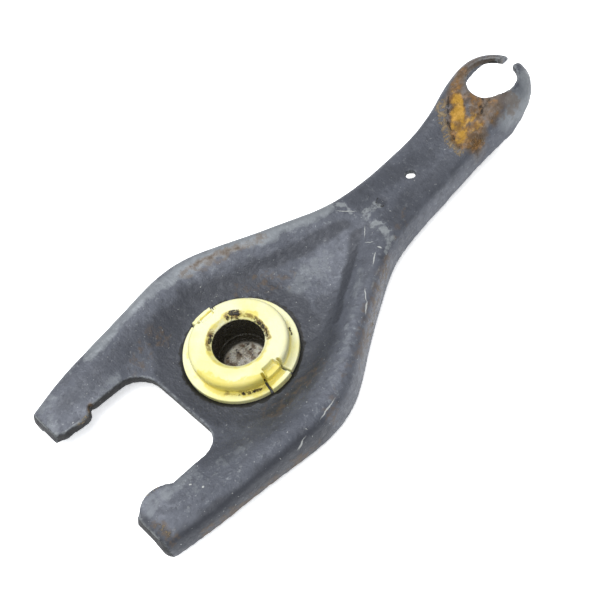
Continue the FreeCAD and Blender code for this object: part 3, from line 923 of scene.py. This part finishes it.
    def body_bands(self) -> list[Band]:
        """Marks on the dish, the ribs, the tines and the flanks."""
        return [
            Band(Mark.RUST, ((8.4, 33.3, 7.3), (17.0, 29.6, 7.3), (26.6, 24.2, 7.3)), 0.7, 0.34),
            Band(Mark.STAIN, ((6.0, 33.0, 7.3), (17.0, 28.6, 7.3), (33.0, 22.0, 7.3)), 2.1, 0.5),
            Band(Mark.STAIN, ((-24.3, 21.6, 3.4), (-14.0, 24.5, 2.0)), 4.0, 0.34),
            Band(Mark.STAIN, ((17.0, 16.0, 0.4), (29.0, 8.0, 0.8)), 4.0, 0.34),
            Band(Mark.STAIN, ((-12.0, -23.0, 1.0), (12.0, -26.0, 1.0)), 4.0, 0.34),
            Band(Mark.DULL_AND_SHADE, arc(23.5, 0, 360, 0.2), 4.4, 0.8),
            Band(Mark.DULL_AND_SHADE, ((-14.0, 25.0, 2.0), (4.0, 26.0, 1.5), (20.0, 18.0, 1.0)), 4.4, 0.9),
            Band(Mark.DULL_AND_SHADE, ((4.0, -27.0, 1.0), (20.0, -20.0, 1.0), (30.0, -9.0, 1.0)), 3.8, 0.6),
            Band(Mark.DULL_AND_SHADE, ((-58.0, -34.5, 4.8), (-46.0, -35.6, 4.2), (-34.0, -37.2, 3.6),
                             (-20.0, -39.0, 2.0), (-4.0, -40.0, 0.5)), 3.0, 1.0),
            Band(Mark.DULL_AND_SHADE, ((-60.0, 37.0, 2.0), (-36.0, 39.5, 1.0)), 3.0, 0.5),
            Band(Mark.DULL_AND_SHADE, ((-59.4, -20.4, 7.0), (-58.6, -31.5, 7.0)), 2.4, 0.9),
            Band(Mark.DULL_AND_SHADE, ((-50.0, 26.0, 7.0), (-30.0, 25.5, 6.0), (-18.0, 28.0, 4.0)), 3.6, 0.46),
            Band(Mark.DULL_AND_SHADE, ((-34.0, -22.0, 6.6), (-24.0, -25.0, 4.0), (-10.0, -30.0, 3.0)), 3.4, 0.42),
            Band(Mark.FROST, ((54.0, 14.5, 7.5), (40.0, 20.5, 7.6), (26.0, 27.0, 7.5)), 3.4, 1.0),
            Band(Mark.FROST, ((26.0, 27.0, 7.5), (6.0, 34.5, 7.3), (-14.0, 37.5, 7.0),
                              (-34.0, 34.0, 6.8)), 2.8, 0.8),
            Band(Mark.FROST, ((40.0, 2.0, 2.4), (30.0, 3.0, 1.0)), 4.6, 0.42),
            Band(Mark.FROST, ((44.0, -13.0, 6.0), (30.0, -21.5, 6.0), (8.0, -34.5, 6.6)), 1.8, 0.3),
            Band(Mark.FROST, ((-60.0, 23.0, 7.0), (-54.0, 31.0, 7.0)), 3.6, 0.36),
            Band(Mark.FROST, ((-44.0, 20.5, 6.5), (-34.0, 21.5, 5.0)), 1.8, 0.36),
            Band(Mark.FROST, ((-55.0, -20.5, 7.0), (-46.0, -21.0, 7.0), (-40.0, -21.0, 6.6)), 2.6, 0.4),
            Band(Mark.FROST, ((-44.0, -25.5, 7.0), (-22.0, -27.0, 4.0)), 2.8, 0.3),
            # Painted highlight: thin bright lines along the top edges of the tine ends.
            Band(Mark.BARE_AND_HIGHLIGHT, ((-59.9, -20.6, 7.0), (-59.8, -31.0, 6.8)), 0.28, 0.8),
            Band(Mark.BARE_AND_HIGHLIGHT, ((-59.9, 20.6, 7.0), (-59.8, 31.0, 6.8)), 0.28, 0.8),
            Band(Mark.STAIN, ((-56.5, -26.5, 7.0), (-57.0, -32.0, 7.0)), 2.4, 0.4),
            Band(Mark.CRUST, ((-56.6, -27.0, 7.0), (-57.0, -30.5, 7.0)), 1.0, 0.3),
            Band(Mark.RUST, ((-45.6, 19.8, 6.4), (-46.8, 18.8, 6.0)), 0.8, 0.6),
            Band(Mark.CRUST, ((-45.2, 19.8, 6.8), (-46.6, 18.6, 6.0)), 0.6, 0.5),
            Band(Mark.CRUST, ((-47.6, 18.0, 6.4), (-54.8, 16.9, 6.0)), 0.6, 0.42),
            Band(Mark.CRUST, ((-48.5, -17.6, 6.8), (-53.0, -16.8, 6.8)), 0.6, 0.36),
            Band(Mark.STAIN, ((54.0, -16.2, 5.5), (38.0, -23.0, 4.5), (20.0, -32.0, 3.0),
                              (0.0, -38.5, 2.5)), 2.6, 0.42),
            Band(Mark.CRUST, ((50.0, -17.5, 3.5), (36.0, -24.5, 2.5), (20.0, -33.0, 1.5)), 1.6, 0.24),
            Band(Mark.STAIN, ((-50.0, -36.5, 0.5), (-20.0, -40.0, -2.0), (6.0, -38.0, -2.0)), 1.8, 0.5),
        ]

    def scratches(self) -> list[Scratch]:
        """Lines scored into the pressing."""
        return [
            Scratch((58.0, -1.7, 6.3), (54.6, -4.5, 6.1), 0.3),
            Scratch((53.0, -6.3, 6.3), (54.3, -8.6, 7.1), 0.3),
            Scratch((53.4, -11.2, 7.6), (53.9, -12.8, 7.8), 0.6),
            Scratch((51.5, -12.4, 7.7), (47.3, -15.0, 7.7), 0.5),
            Scratch((38.8, -19.2, 7.7), (35.7, -22.6, 7.6), 0.4),
            Scratch((36.0, -22.5, 7.6), (32.2, -25.4, 7.3), 0.5),
            Scratch((56.3, 9.5, 7.5), (60.3, 4.2, 6.9), 0.3),
            Scratch((4.8, -37.8, 6.6), (-2.8, -38.9, 6.2), 0.35),
            Scratch((-9.0, -39.2, 4.0), (-13.5, -39.6, 3.0), 0.35),
            Scratch((-42.9, -24.0, 6.8), (-42.3, -24.6, 6.8), 0.7),
            Scratch((-40.9, -27.6, 7.0), (-40.3, -28.0, 7.0), 0.7),
            Scratch((119.5, -2.4, 17.6), (116.8, -3.6, 16.4), 0.4),
        ]

    def chip(self, worn: WornPiece) -> None:
        """Wear down the chipped pad of one tine, slant the tine ends and open the locating hole below."""
        points = worn.points()
        # The shear left the ends of the tines slanted: their lower edge stands out furthest.
        high = np.clip((points[:, 2] - self.tip_low) / (self.tip_high - self.tip_low), 0, 1)
        near = np.clip(1.0 - (points[:, 0] - self.tip_x) / self.tip_run, 0, 1)
        points[:, 0] += self.tip_slant * high * near
        x, y, z = points.T.copy()
        for dent in self.dents:
            depth = dent.depth(x, y)
            points[:, 0] += dent.push[0] * depth
            points[:, 1] += dent.push[1] * depth
        # The punch tore the hole wider on the far side of the sheet.
        away = np.hypot(x - self.pilot_x, y)
        below = np.clip((self.pilot_top - self.torn_from - z) / self.torn_depth, 0, 1)
        torn = self.torn_by * below * np.clip((self.torn_r - away) / (self.torn_r - self.pilot_r), 0, 1)
        points[:, 0] += torn * (x - self.pilot_x) / np.maximum(away, 0.1)
        points[:, 1] += torn * y / np.maximum(away, 0.1)
        worn.move(points)

    def cut_walls(self, worn: WornPiece) -> None:
        """Store painted shade on the cut walls of the slot, the tips and the eye: upright or facing -X."""
        points, normals = worn.points(), worn.normals()
        x, y, _ = points.T
        upright = np.clip(2 - np.abs(normals[:, 2]) / self.wall_lean, 0, 1)
        in_slot = (x < self.slot_x + self.wall_reach) & (np.abs(y) < self.slot_half + self.wall_reach)
        in_eye = np.hypot(x - self.eye_x, y) < self.eye_r + self.eye_reach
        outwards = np.clip((-normals[:, 0] - self.end_facing) / self.end_fade, 0, 1)
        slanted = outwards * (x < self.tip_x + self.tip_slant + self.end_reach)
        walls = upright * np.maximum(in_slot, self.eye_dark * in_eye)
        worn.store(Mark.SHADED_CUT_WALL, np.maximum(walls, self.end_dark * slanted))

    def build(self) -> None:
        """Make the worn pressing and dress it."""
        worn = WornPiece("fork_pressing", "fork_pressing_worn", self.voxel, soften=3)
        worn.unevenness(self.wave, self.wave_depth)
        self.chip(worn)
        worn.bends(self.edge_r, passes=4)
        points = worn.points()
        # Painted contact shadow with grease: a dark ring on the steel round the bush.
        off_seat = np.abs(np.hypot(points[:, 0], points[:, 1]) - self.seat_r)
        ring = np.clip(1.0 - off_seat / self.seat_ring, 0, 1) * self.seat_shadow_and_grease
        bands = self.eye_bands() + self.neck_bands() + self.body_bands()
        worn.mark(bands, STEEL_BANDS, {Mark.GRIME_AND_SHADE: ring})
        self.cut_walls(worn)
        worn.dress(self.finish.build(self.scratches()))


@dataclass
class PivotBush:
    """The nylon bush: flange, boss, greased socket and two snap lugs."""

    voxel: float = 0.26
    flange_t: float = 2.0
    boss_r: float = 16.3
    boss_top: float = 7.0
    mouth_r: float = 10.2
    socket_r: float = 8.6
    floor_r: float = 7.0     # radius that the ball rubs clean on the socket's floor
    floor_top: float = -4.2  # height below which that floor lies
    lug_half_angle: float = 13.0
    lug_slot_r: float = 14.6
    wave: float = 7.0
    wave_depth: float = 0.12
    edge_r: float = 0.5      # radius of the softened edges
    grease_from: float = 1.4  # the grease starts this far below the top of the boss
    grease_fade: float = 0.7
    grease_depth: float = 4.0  # and ends this far below the top of the floor
    foot_top: float = 5.0    # height below which the boss is drawn in
    foot_run: float = 3.0
    foot_by: float = 0.45
    foot_reach: float = 0.9  # how far from the boss's radius its own wall may lie
    past: float = 0.6        # how far past a face its skin may lie
    finish: MouldedNylon = field(default_factory=MouldedNylon)

    def bands(self) -> list[Band]:
        """Where the bush is greasy, yellowed or browned, and where painted shade deepens its yellow."""
        top, rim, low = self.boss_top, self.mouth_r, self.flange_t
        groove = self.boss_r + 0.6
        chamfer = top - 0.7
        bands = [
            Band(Mark.GRIME_AND_SHADE, arc(rim + 0.5, 47, 57, top), 0.95, 0.7),
            Band(Mark.GRIME_AND_SHADE, arc(rim - 0.6, 44, 66, chamfer), 0.8, 0.5),
            Band(Mark.TOAST, arc(rim + 0.2, 38, 64, top), 1.5, 0.66),
            Band(Mark.AMBER_AND_SHADE, arc(rim + 0.1, 16, 70, top), 1.8, 0.66),
            Band(Mark.TOAST, arc(rim - 0.5, 12, 34, top - 0.4), 0.8, 0.6),
            Band(Mark.TOAST, arc(rim - 0.6, -45, 14, chamfer), 0.9, 0.7),
            Band(Mark.GRIME_AND_SHADE, arc(rim - 0.9, -38, 8, chamfer - 0.2), 0.7, 0.52),
            Band(Mark.TOAST, arc(rim - 0.6, 106, 148, chamfer), 0.8, 0.66),
            Band(Mark.GRIME_AND_SHADE, arc(rim - 1.0, 112, 134, chamfer - 0.3), 0.6, 0.5),
            Band(Mark.AMBER_AND_SHADE, arc(rim - 0.4, 0, 360, chamfer), 0.9, 0.55),
            # Painted shade: deeper yellow on the side wall of the boss facing the lens.
            Band(Mark.AMBER_AND_SHADE, arc(groove - 1.0, -178, -84, low + 2.2), 2.4, 0.8),
            Band(Mark.AMBER_AND_SHADE, arc(groove, -60, 170, low), 0.9, 0.36),
            Band(Mark.TOAST, arc(groove - 0.4, -150, -108, low + 0.4), 0.8, 0.5),
            Band(Mark.GRIME_AND_SHADE, arc(groove - 0.2, -134, -112, low), 0.7, 0.46),
            Band(Mark.GRIME_AND_SHADE, arc(groove, -34, -25, low), 0.3, 0.6),
            Band(Mark.GRIME_AND_SHADE, arc(groove + 0.8, 96, 101, low), 0.4, 0.4),
            Band(Mark.AMBER_AND_SHADE, arc(groove + 0.8, 78, 92, low), 0.8, 0.6),
        ]
        for turn in (270.0 - self.lug_half_angle, 270.0 + self.lug_half_angle):
            c, s = math.cos(math.radians(turn)), math.sin(math.radians(turn))
            inner = self.lug_slot_r + 0.2
            slot = ((inner * c, inner * s, low), (groove * c, groove * s, low))
            bands.append(Band(Mark.GRIME_AND_SHADE, slot, 0.4, 0.85))
        return bands

    def socket_grease(self, points: np.ndarray) -> np.ndarray:
        """Find how the wall of the socket is blackened.

        Args:
            points: positions in millimetres, one row each.

        Returns:
            One value from 0 to 1 for each point.
        """
        away = np.hypot(points[:, 0], points[:, 1])
        deep = np.clip((self.boss_top - self.grease_from - points[:, 2]) / self.grease_fade, 0, 1)
        within = (away < self.socket_r + self.past) & (points[:, 2] > self.floor_top - self.grease_depth)
        return deep * within

    def draw_in(self, worn: WornPiece) -> None:
        """Narrow the boss a little at its foot, as the mould leaves it."""
        points = worn.points()
        away = np.hypot(points[:, 0], points[:, 1])
        low = np.clip((self.foot_top - points[:, 2]) / self.foot_run, 0, 1)
        foot = low * (points[:, 2] > self.flange_t - self.past)
        side = np.clip(1.0 - np.abs(away - self.boss_r) / self.foot_reach, 0, 1)
        share = 1.0 - self.foot_by * foot * side / np.maximum(away, 1.0)
        points[:, 0] *= share
        points[:, 1] *= share
        worn.move(points)

    def build(self) -> None:
        """Make the worn bush and dress it."""
        worn = WornPiece("pivot_bush", "pivot_bush_worn", self.voxel, soften=2)
        worn.unevenness(self.wave, self.wave_depth)
        self.draw_in(worn)
        worn.bends(self.edge_r, passes=3)
        worn.mark(self.bands(), NYLON_BANDS, {Mark.GRIME_AND_SHADE: self.socket_grease(worn.points())})
        worn.dress(self.finish.build(self.floor_r, self.floor_top))


@dataclass
class Studio:
    """White floor and surroundings, two soft lamps and the camera."""

    azimuth: float = -32.13
    elevation: float = 55.95
    distance: float = 320.8
    roll: float = 16.33
    aim: Triple = (23.9, -4.15, 5.0)
    lens: float = 60.0
    sensor: float = 36.0
    floor_half: float = 3.0  # half the width of the floor, in metres
    floor_grey: str = "e4e5e6"
    floor_lift: float = 2.2  # how much lighter than the card the lens sees the floor
    floor_glow: float = 0.42
    clip_start: float = 0.01  # nearest distance that the camera shows, in metres
    world_colour: str = "f7f8f9"
    world_strength: float = 0.35
    lit_point: Triple = (0.04, 0.0, 0.0)  # what the lamps face, in metres
    lights: tuple[Lamp, ...] = (
        Lamp("key", (-0.05, 0.30, 0.58), 0.35, 2.2),
        Lamp("fill", (-0.12, -0.20, 0.56), 0.25, 1.5),
    )

    def camera(self) -> None:
        """Place the camera."""
        a, e = math.radians(self.azimuth), math.radians(self.elevation)
        back = Vector((math.sin(a) * math.cos(e), -math.cos(a) * math.cos(e), math.sin(e)))
        data = bpy.data.cameras.new("camera")
        data.lens = self.lens
        data.sensor_width = self.sensor
        data.clip_start = self.clip_start
        camera = bpy.data.objects.new("camera", data)
        bpy.context.scene.collection.objects.link(camera)
        camera.location = Vector(self.aim) * MM + back * self.distance * MM
        camera.rotation_mode = "QUATERNION"
        level = (-back).to_track_quat("-Z", "Y")
        camera.rotation_quaternion = level @ Quaternion((0.0, 0.0, 1.0), -math.radians(self.roll))
        bpy.context.scene.camera = camera

    def hang(self, lamp: Lamp) -> None:
        """Hang a lamp in its place, facing the object.

        Args:
            lamp: the lamp.
        """
        data = bpy.data.lights.new(lamp.name, "AREA")
        data.size = lamp.size
        data.energy = lamp.power
        light = bpy.data.objects.new(lamp.name, data)
        bpy.context.scene.collection.objects.link(light)
        light.location = lamp.place
        light.rotation_mode = "QUATERNION"
        aim = Vector(self.lit_point) - Vector(lamp.place)
        light.rotation_quaternion = aim.to_track_quat("-Z", "Y")

    def lamps(self) -> None:
        """Light the object from high on the +Y side, and from a weaker lamp above the camera."""
        for lamp in self.lights:
            self.hang(lamp)

    def seen_directly(self, tree: bpy.types.NodeTree) -> bpy.types.Node:
        """Find the rays that show a surface: those of the lens, of gloss and of clear stuff.

        Args:
            tree: node tree that asks.

        Returns:
            The node that gives 1 for such a ray and 0 for one that only carries light.
        """
        rays = add_node(tree, "ShaderNodeLightPath")
        seen: Any = rays.outputs["Is Camera Ray"]
        for kind in ("Is Glossy Ray", "Is Transmission Ray"):
            seen = add_node(tree, MATH, MAXIMUM, {0: seen, 1: rays.outputs[kind]})
        return seen

    def world(self) -> None:
        """Surround the object with soft white, and show pure white wherever it is seen."""
        world = bpy.data.worlds.new("studio")
        bpy.context.scene.world = world
        world.use_nodes = True
        tree = world.node_tree
        tree.nodes.clear()
        dim = {"Color": hex_colour(self.world_colour), "Strength": self.world_strength}
        soft = add_node(tree, "ShaderNodeBackground", None, dim)
        full = {"Color": hex_colour("ffffff"), "Strength": 1.0}
        white = add_node(tree, "ShaderNodeBackground", None, full)
        mixed = add_node(tree, "ShaderNodeMixShader", None, {0: self.seen_directly(tree), 1: soft, 2: white})
        add_node(tree, "ShaderNodeOutputWorld", None, {0: mixed})

    def floor(self, level: float) -> None:
        """Lay the floor: a matt card that shows white to the lens and keeps the shadow.

        Args:
            level: height of the floor in metres.
        """
        bpy.ops.object.select_all(action="DESELECT")
        bpy.ops.mesh.primitive_plane_add(size=2 * self.floor_half, location=(0.0, 0.0, level))
        floor = bpy.context.view_layer.objects.active
        floor.name = "floor"
        bpy.ops.object.transform_apply(location=True, rotation=True, scale=True)
        material = bpy.data.materials.new("matt_white_card")
        material.use_nodes = True
        tree = material.node_tree
        tree.nodes.clear()
        grey = hex_colour(self.floor_grey)
        lifted = tuple(channel * self.floor_lift for channel in grey[:3]) + (1.0,)
        card = add_node(tree, "ShaderNodeBsdfDiffuse", None, {"Color": grey})
        bright = add_node(tree, "ShaderNodeBsdfDiffuse", None, {"Color": lifted})
        shine = {"Color": hex_colour("ffffff"), "Strength": self.floor_glow}
        glow = add_node(tree, "ShaderNodeEmission", None, shine)
        white = add_node(tree, "ShaderNodeAddShader", None, {0: bright, 1: glow})
        mixed = add_node(tree, "ShaderNodeMixShader", None, {0: self.seen_directly(tree), 1: card, 2: white})
        add_node(tree, "ShaderNodeOutputMaterial", None, {0: mixed})
        floor.data.materials.append(material)
        floor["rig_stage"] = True

    def build(self, level: float) -> None:
        """Set up the whole studio.

        Args:
            level: height of the floor in metres.
        """
        bpy.context.scene.view_settings.view_transform = "Standard"
        self.camera()
        self.world()
        self.lamps()
        self.floor(level)
        log.info("studio: floor at %.2f mm", level / MM)


def main() -> None:
    """Build the pieces in order round the frame."""
    logging.basicConfig(level=logging.INFO)
    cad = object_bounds()
    ForkPressing().build()
    PivotBush().build()
    Studio().build(cad[0].z - FLOOR_GAP * MM)


if __name__ == "__main__":
    main()
